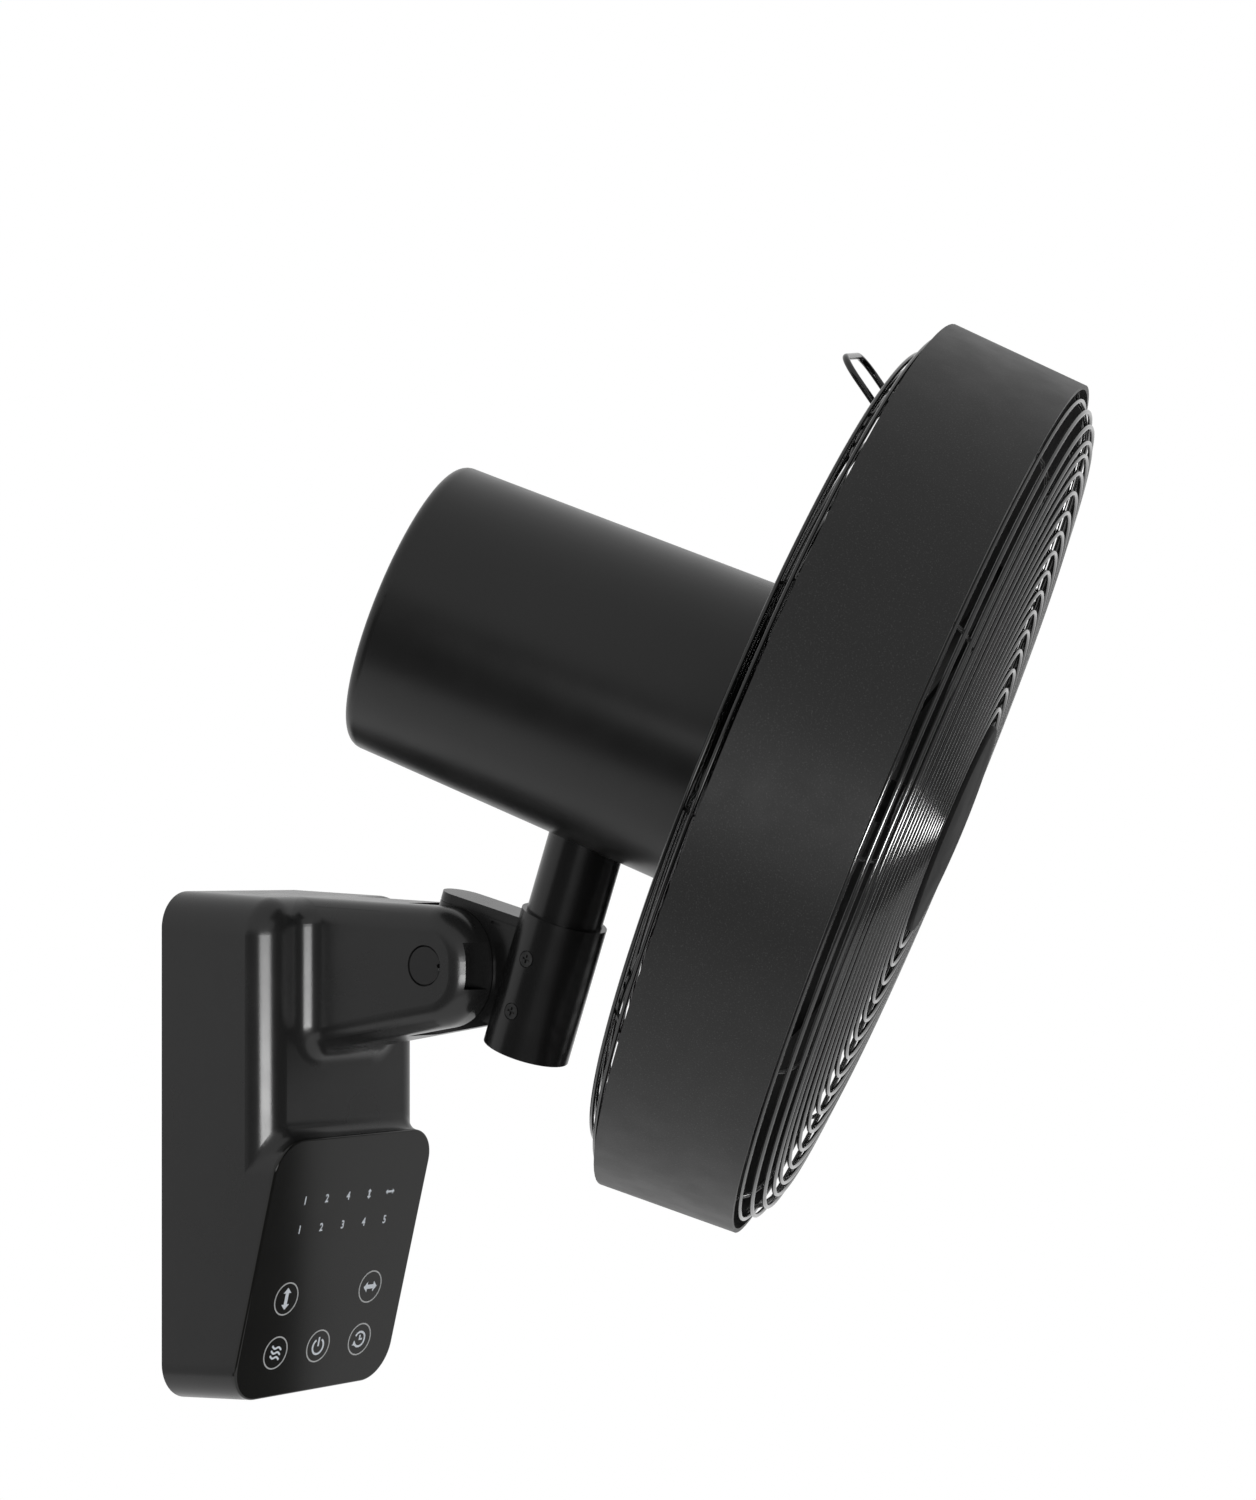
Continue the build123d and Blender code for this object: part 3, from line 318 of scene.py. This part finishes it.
for thing in nodes.values():
    for slot in thing.material_slots:
        slot.material = MATERIALS[slot.material.name.split(".")[0]]
nodes["front_cap"].material_slots[0].material = CAP_MATT
for name in ("socket_screw_upper", "socket_screw_lower"):
    nodes[name].material_slots[0].material = SCREW_BLACK


# ------------------------------------------------------------------ frames
def head_frame():
    """Axial frame of the head: +Z forward on the fan's axis, +Y up, origin on the neck's axis."""
    forward = Vector(joints["spin"]["axis"]).normalized()
    neck = Vector(joints["pan"]["axis"]).normalized()
    up = (neck - forward * neck.dot(forward)).normalized()
    turn = Matrix((up.cross(forward), up, forward)).transposed().to_4x4()
    return Matrix.Translation(joints["spin"]["pos_m"]) @ turn


HEAD = head_frame()
INWARD = HEAD.inverted()
PANEL = (Matrix.Translation(Vector(PANEL_DATUM) * MM)
         @ Matrix.Rotation(math.radians(90 + PANEL_TILT), 4, "X"))


def in_head(node):
    """Points of a node in the head's axial frame."""
    return [INWARD @ vertex.co for vertex in nodes[node].data.vertices]


def widest(places):
    """Largest radius of points round the fan's axis."""
    return max(math.hypot(p.x, p.y) for p in places)


def reach(node):
    """Lowest and highest place of a node along the fan's axis, and its largest radius."""
    places = in_head(node)
    return min(p.z for p in places), max(p.z for p in places), widest(places)


# ------------------------------------------------------------------ mesh helpers
def piece(name, form, place, material, body, smooth=True):
    """Finished piece from a bmesh drawn in a local frame."""
    bmesh.ops.recalc_face_normals(form, faces=form.faces)
    mesh = bpy.data.meshes.new(name)
    form.to_mesh(mesh)
    form.free()
    mesh.transform(place)
    mesh.materials.append(material)
    for polygon in mesh.polygons:
        polygon.use_smooth = smooth
    thing = bpy.data.objects.new(name, mesh)
    bpy.context.scene.collection.objects.link(thing)
    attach(thing, body)
    return thing


def around(steps):
    """Even angles of a full turn."""
    return [2 * math.pi * k / steps for k in range(steps)]


def bridge(form, first, second):
    """Faces between two closed rows of as many points."""
    for i in range(len(first)):
        j = (i + 1) % len(first)
        form.faces.new((first[i], first[j], second[j], second[i]))


def tube(form, points, radius, closed=False):
    """Round wire through points."""
    rows = []
    count = len(points)
    for i, point in enumerate(points):
        before = points[(i - 1) % count] if closed or i else points[0]
        after = points[(i + 1) % count] if closed or i < count - 1 else points[-1]
        along = (after - before).normalized()
        side = along.cross(Vector((0, 0, 1)))
        if side.length < 1e-4:          # the wire runs along z here
            side = along.cross(Vector((1, 0, 0)))
        side.normalize()
        across = along.cross(side)
        rows.append([form.verts.new(point + (side * math.cos(a) + across * math.sin(a)) * radius)
                     for a in around(WIRE_STEPS)])
    for first, second in zip(rows, rows[1:]):
        bridge(form, first, second)
    if closed:
        bridge(form, rows[-1], rows[0])
    else:
        form.faces.new(list(reversed(rows[0])))
        form.faces.new(rows[-1])


def turned(form, outline, steps=RING_STEPS, dented=(), dent_r=math.inf):
    """Solid of revolution about z from a closed (radius, z) outline that stays off the axis.

    At the steps named as dented, no point is further out than dent_r.
    """
    rows = []
    for k, a in enumerate(around(steps)):
        limit = dent_r if k in dented else math.inf
        rows.append([form.verts.new((min(r, limit) * math.cos(a), min(r, limit) * math.sin(a), z))
                     for r, z in outline])
    for k, row in enumerate(rows):
        bridge(form, row, rows[(k + 1) % steps])


# ------------------------------------------------------------------ guards
def hoop(form, radius, z):
    """Guard ring about z."""
    ring = [Vector((radius * math.cos(a), radius * math.sin(a), z)) for a in around(RING_STEPS)]
    tube(form, ring, WIRE_R, closed=True)


def reading(table, where):
    """Straight-line reading of a table of (position, value), in falling order of position."""
    for (far, low), (near, high) in zip(table, table[1:]):
        if where >= near:
            return low + (high - low) * (far - where) / (far - near)
    return table[-1][1]


def even_radii(first, last, count):
    """Radii in even steps from the one after first to last."""
    return [first - (first - last) * n / count for n in range(1, count + 1)]


def guard(name, path, first_rib, rings, hub, replaced):
    """Guard of round wire: rings, ribs along a (radius, z) path, and a turned hub plate."""
    form = bmesh.new()
    for radius, z in rings:
        hoop(form, radius, z)
    for n in range(RIBS):
        turn = math.radians(first_rib + 360 / RIBS * n)
        tube(form, [Vector((r * math.cos(turn), r * math.sin(turn), z)) for r, z in path], WIRE_R)
    turned(form, hub)
    thing = piece(name, form, HEAD, MATERIALS["guard_wire"], "pan_head")
    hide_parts(replaced)


def front_guard():
    """Dome of rings over ribs, from the drum's front edge to a plate under the cap."""
    front = reach("drum_band")[1]
    drum_r = widest([p for p in in_head("drum_band") if p.z > front - MM])
    cap_back, _, cap_r = reach("front_cap")
    dome = [(drum_r - into * MM, front + rise * MM) for into, rise in FRONT_DOME]
    dome.append((cap_r - CAP_OVERLAP * MM, front + FRONT_RISE * MM))
    radii = [drum_r - into * MM for into in FRONT_RIM_RINGS]
    radii += even_radii(radii[-1], cap_r + CAP_RING_GAP * MM, FRONT_FACE_RINGS)
    path = [(drum_r - into * MM, front - WELD - below * MM) for into, below in FRONT_RIB_FOOT]
    path += [(r, z - WELD) for r, z in dome[1:]]
    path.append((cap_r - FRONT_RIB_END * MM, dome[-1][1] - WELD))
    hole, edge = AXIS_HOLE_R * MM, cap_r - CAP_PLATE_IN * MM
    back = cap_back - 2 * WIRE_R
    hub = [(hole, back), (edge, back), (edge, cap_back), (hole, cap_back)]
    rings = [(r, reading(dome, r)) for r in radii]
    guard("front_wires", path, FRONT_RIB, rings, hub, "front_guard")


def rear_guard():
    """Dish of rings behind ribs, from the drum's rear edge to the plate that the nut clamps."""
    back, _, drum_r = reach("drum_band")
    can_r = reach("motor_housing")[2]
    plate_at = reach("guard_nut")[0]
    dish = [(drum_r - into * MM, back - deep * MM) for into, deep in REAR_DISH]
    dish.append((REAR_PLATE_R * MM, plate_at))
    radii = [drum_r - into * MM for into in REAR_RIM_RINGS]
    radii += even_radii(radii[-1], can_r + CAN_RING_GAP * MM, REAR_FACE_RINGS)
    into, behind = REAR_RIB_FOOT
    path = [(drum_r - into * MM, back - behind * MM), *dish[1:], (REAR_RIB_END_R * MM, plate_at)]
    hole, edge = REAR_PLATE_HOLE_R * MM, REAR_PLATE_R * MM
    under = plate_at - REAR_PLATE_T * MM
    hub = [(edge, under), (edge, plate_at), (hole, plate_at), (hole, under)]
    rings = [(r, reading(dish, r) - WELD) for r in radii]
    guard("rear_wires", path, REAR_RIB, rings, hub, "rear_guard")


front_guard()
rear_guard()


# ------------------------------------------------------------------ small turned parts
def replace_turned(node, outline, place, slot, dented=(), dent_r=math.inf):
    """Turned piece, from an outline in millimetres, in place of a node of the housing."""
    form = bmesh.new()
    turned(form, [(r * MM, z * MM) for r, z in outline], TURNED_STEPS, dented, dent_r)
    thing = piece(node + "_turned", form, place, MATERIALS[slot], "wall_base", smooth=False)
    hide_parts(node)


def spot(node):
    """Middle of a node's box."""
    low, high = (Vector(corner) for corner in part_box(node))
    return (low + high) / 2


def pivot_plugs():
    """Snap-in covers with a chamfer, so that their rim reads as a fine dark line, and a notch."""
    for side, node in ((-1, "pivot_plug_left"), (1, "pivot_plug_right")):
        place = Matrix.Translation(spot(node)) @ Matrix.Rotation(math.radians(90 * side), 4, "Y")
        replace_turned(node, PLUG, place, "housing_plastic", PLUG_NOTCH, PLUG_NOTCH_R * MM)


def flush_gland():
    """Gland whose flange is let into the underside, where the photograph shows no rim."""
    node = "cord_gland"
    place = Matrix.Translation(spot(node)) @ Matrix.Rotation(math.radians(-FOOT_SLOPE), 4, "X")
    low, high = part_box(node)
    half = (high[2] - low[2]) / 2 / MM
    end, (under, over) = GLAND_END - half, (half - down for down in GLAND_FLANGE)
    outline = [(GLAND_HOLE_R, end), (GLAND_R, end), (GLAND_R, under), (GLAND_FLANGE_R, under),
               (GLAND_FLANGE_R, over), (GLAND_HOLE_R, over)]
    replace_turned(node, outline, place, "rubber_black")


pivot_plugs()
flush_gland()


# ------------------------------------------------------------------ printed panel
def plate(form, outline, lift=INK_LIFT):
    """Thin printed shape from a closed outline in panel millimetres."""
    bottom, top = ([form.verts.new((x * MM, y * MM, z * MM)) for x, y in outline]
                   for z in (lift, lift + INK_T))
    form.faces.new(list(reversed(bottom)))
    form.faces.new(top)
    bridge(form, bottom, top)


def moved(outline, x, y):
    """Outline about another place."""
    return [(x + u, y + v) for u, v in outline]


def stroke(form, points, width):
    """Line of even width along open points."""
    left, right = [], []
    for i, (x, y) in enumerate(points):
        (x0, y0), (x1, y1) = points[max(i - 1, 0)], points[min(i + 1, len(points) - 1)]
        length = math.hypot(x1 - x0, y1 - y0)
        across = ((y0 - y1) / length * width / 2, (x1 - x0) / length * width / 2)
        left.append((x + across[0], y + across[1]))
        right.append((x - across[0], y - across[1]))
    plate(form, right + left[::-1])


def arc(x, y, radius, start, end, steps=40):
    """Points of an arc, angles in degrees from +X."""
    angles = [math.radians(start + (end - start) * k / steps) for k in range(steps + 1)]
    return [(x + radius * math.cos(a), y + radius * math.sin(a)) for a in angles]


def double_arrow(form, x, y, half, head, shaft, upright):
    """Arrow with two heads, across or upright."""
    neck = half - head
    upper = [(-neck, head), (-neck, shaft), (neck, shaft), (neck, head)]
    outline = [(-half, 0), *upper, (half, 0), *((-u, -v) for u, v in upper)]
    plate(form, moved([(-v, u) for u, v in outline] if upright else outline, x, y))


def power_mark(form, x, y):
    """Open ring with an upright bar in its gap."""
    rise, *ring = POWER_ARC
    stroke(form, arc(x, y + rise, *ring), MARK_LINE)
    stroke(form, [(x, y + end) for end in POWER_BAR], MARK_LINE)


def clock_mark(form, x, y):
    """Open ring with an arrow head, and two hands in one outline."""
    ring = arc(x, y, *CLOCK_ARC)
    stroke(form, ring, MARK_LINE)
    plate(form, moved(CLOCK_HANDS, x, y))
    plate(form, moved(CLOCK_HEAD, *ring[0]), 2 * INK_LIFT)      # clear of the ring that it crosses


def wave_mark(form, x, y):
    """Three waves under each other, for air."""
    for shift in WAVE_SHIFTS:
        points = []
        for k in range(WAVE_STEPS + 1):
            t = k / WAVE_STEPS * 2 - 1
            rise = WAVE_RISE * math.sin(math.pi * t * WAVE_TURNS)
            points.append((x + WAVE_HALF * t - shift * WAVE_SLANT,
                           y - WAVE_FALL * t - shift + rise))
        stroke(form, points, WAVE_LINE)


def numeral(form, text, x, y):
    """Plain number from the built-in font, centred on a place."""
    curve = bpy.data.curves.new("numeral", "FONT")
    curve.body = text
    curve.size = NUMERAL_H * NUMERAL_FONT
    curve.align_x = "CENTER"
    curve.align_y = "CENTER"
    curve.resolution_u = 3
    curve.offset = NUMERAL_BOLD
    curve.extrude = INK_T / 2
    holder = bpy.data.objects.new("numeral", curve)
    mesh = bpy.data.meshes.new_from_object(holder)
    place = Matrix.Diagonal((MM, MM, MM, 1)) @ Matrix.Translation((x, y, INK_LIFT + INK_T / 2))
    mesh.transform(place @ Matrix.Diagonal((NUMERAL_WIDTH, 1, 1, 1)))
    form.from_mesh(mesh)
    bpy.data.objects.remove(holder)
    bpy.data.curves.remove(curve)
    bpy.data.meshes.remove(mesh)


def panel_print():
    """Rings round the keys, the marks in them, and two rows of numbers and arrows."""
    rings, marks = bmesh.new(), bmesh.new()
    for x, y in ((-KEY_PITCH, 0), (0, 0), (KEY_PITCH, 0),
                 (-KEY_PITCH, UPPER_KEYS), (KEY_PITCH, UPPER_KEYS)):
        stroke(rings, arc(x, y, KEY_R, *KEY_ARC), KEY_LINE)
    wave_mark(marks, -KEY_PITCH, 0)
    power_mark(marks, 0, 0)
    clock_mark(marks, KEY_PITCH, 0)
    for arrow in KEY_ARROWS:
        double_arrow(marks, *arrow)
    for numbers, y in (("12345", LOWER_MARKS), ("124", UPPER_MARKS)):
        for n, text in enumerate(numbers):
            numeral(marks, text, (n - 2) * MARK_PITCH, y)
    for arrow in MARK_ARROWS:
        double_arrow(marks, *arrow)
    for name, form, material in (("key_rings", rings, RING_INK), ("key_marks", marks, MARK_INK)):
        piece(name, form, PANEL, material, "wall_base", smooth=False)


panel_print()


# ------------------------------------------------------------------ stage, lights, camera
def background_rays(tree):
    """Rays that see the white background (straight, mirrored, through), and the straight ones."""
    path = add(tree, "ShaderNodeLightPath")
    straight = path.outputs["Is Camera Ray"]
    first = math_node(tree, "MAXIMUM", straight, path.outputs["Is Glossy Ray"])
    return math_node(tree, "MAXIMUM", first, path.outputs["Is Transmission Ray"]), straight


def floor():
    """Pale disc under the fan, a little brighter for the rays that see the background."""
    bpy.ops.mesh.primitive_circle_add(vertices=128, radius=FLOOR_R, fill_type="NGON",
                                      location=(0, 0, FLOOR_Z))
    plane = bpy.context.object
    plane.name = "floor"
    material, tree, shader = new_material("floor pale")
    shader.inputs["Base Color"].default_value = (*grey(FLOOR_TONE), 1)
    shader.inputs["Roughness"].default_value = 0.9
    shader.inputs["Specular IOR Level"].default_value = 0.0
    glow = add(tree, "ShaderNodeEmission", Strength=FLOOR_GLOW)
    both = add(tree, "ShaderNodeAddShader")
    mix = add(tree, "ShaderNodeMixShader")
    tree.links.new(shader.outputs[0], both.inputs[0])
    tree.links.new(glow.outputs[0], both.inputs[1])
    tree.links.new(background_rays(tree)[0], mix.inputs[0])
    tree.links.new(shader.outputs[0], mix.inputs[1])
    tree.links.new(both.outputs[0], mix.inputs[2])
    tree.links.new(mix.outputs[0], tree.nodes["Material Output"].inputs["Surface"])
    plane.data.materials.append(material)


def window(tree, value, middle, softness):
    """Smooth step from 0 to 1 round an angle in degrees."""
    step = add(tree, "ShaderNodeMapRange", interpolation_type="SMOOTHSTEP")
    tree.links.new(value, step.inputs["Value"])
    step.inputs["From Min"].default_value = math.radians(middle - softness)
    step.inputs["From Max"].default_value = math.radians(middle + softness)
    return step.outputs["Result"]


def world():
    """White room with a dark part behind the photographer."""
    sky = bpy.data.worlds.new("studio")
    bpy.context.scene.world = sky
    sky.use_nodes = True
    tree = sky.node_tree
    where = add(tree, "ShaderNodeTexCoord")
    turn = add(tree, "ShaderNodeVectorRotate", rotation_type="Z_AXIS")
    turn.inputs["Angle"].default_value = math.radians(90 - DARK_MIDDLE)
    tree.links.new(where.outputs["Generated"], turn.inputs["Vector"])
    parts = add(tree, "ShaderNodeSeparateXYZ")
    tree.links.new(turn.outputs[0], parts.inputs[0])
    azimuth = math_node(tree, "ARCTAN2", parts.outputs["Y"], parts.outputs["X"])
    off = math_node(tree, "ABSOLUTE", azimuth)
    height = math_node(tree, "ARCSINE", parts.outputs["Z"])
    side, top = DARK_SOFT
    widened = math_node(tree, "MULTIPLY_ADD", height, DARK_WIDENS, off)
    outside = math_node(tree, "MAXIMUM", window(tree, widened, DARK_HALF, side),
                        window(tree, height, DARK_TOP, top))
    lit = math_node(tree, "MAXIMUM", outside, DARK_LEVEL)
    seen, straight = background_rays(tree)
    level = add(tree, "ShaderNodeMapRange")
    tree.links.new(seen, level.inputs["Value"])
    level.inputs["To Min"].default_value = ROOM_SOFT
    level.inputs["To Max"].default_value = ROOM_SEEN
    room = math_node(tree, "MULTIPLY", lit, level.outputs["Result"])
    background = tree.nodes["Background"]
    tree.links.new(math_node(tree, "MAXIMUM", room, straight), background.inputs["Strength"])
    background.inputs["Color"].default_value = (1, 1, 1, 1)


def face(holder, direction):
    """Turns a lamp or camera to look in a direction."""
    holder.rotation_euler = direction.to_track_quat("-Z", "Y").to_euler()


def strip_light(name, behind, radiance, lit=()):
    """Strip softbox with an even radiance, where 1 is white; lit names the only things it lights.

    The strips stand a little behind each other, because lamps in one plane would hide each other.
    """
    place, target = Vector(STRIP_AT), Vector(STRIP_AIM)
    place += (place - target).normalized() * behind
    lamp = bpy.data.lights.new(name, "AREA")
    lamp.shape = "RECTANGLE"
    lamp.size, lamp.size_y = STRIP_SIZE
    lamp.energy = radiance * math.pi * STRIP_SIZE[0] * STRIP_SIZE[1]
    holder = bpy.data.objects.new(name, lamp)
    bpy.context.scene.collection.objects.link(holder)
    holder.location = place
    face(holder, target - place)
    if lit:
        group = bpy.data.collections.new(name)
        for thing in lit:
            group.objects.link(thing)
        holder.light_linking.receiver_collection = group


def camera():
    """Photograph's camera, level, with the picture's own middle."""
    data = bpy.data.cameras.new("photo view")
    data.sensor_fit = "VERTICAL"
    data.sensor_height = SENSOR
    data.lens = FOCAL_PX / PHOTO_PX[1] * SENSOR
    data.shift_x = (PHOTO_PX[0] / 2 - CENTRE_PX[0]) / PHOTO_PX[1]
    data.shift_y = (CENTRE_PX[1] - PHOTO_PX[1] / 2) / PHOTO_PX[1]
    data.clip_end = 100
    holder = bpy.data.objects.new("photo view", data)
    bpy.context.scene.collection.objects.link(holder)
    holder.location = CAMERA_AT
    face(holder, Vector((math.cos(CAMERA_YAW), math.sin(CAMERA_YAW), 0)))
    bpy.context.scene.camera = holder


floor()
world()
strip_light("softbox", behind=0.0, radiance=7.0)
strip_light("edge softbox", behind=0.02, radiance=25.0, lit=[nodes["base_housing"]])
strip_light("wire softbox", behind=0.04, radiance=60.0, lit=[bpy.data.objects["front_wires"]])
camera()
bpy.context.scene.view_settings.view_transform = "Standard"
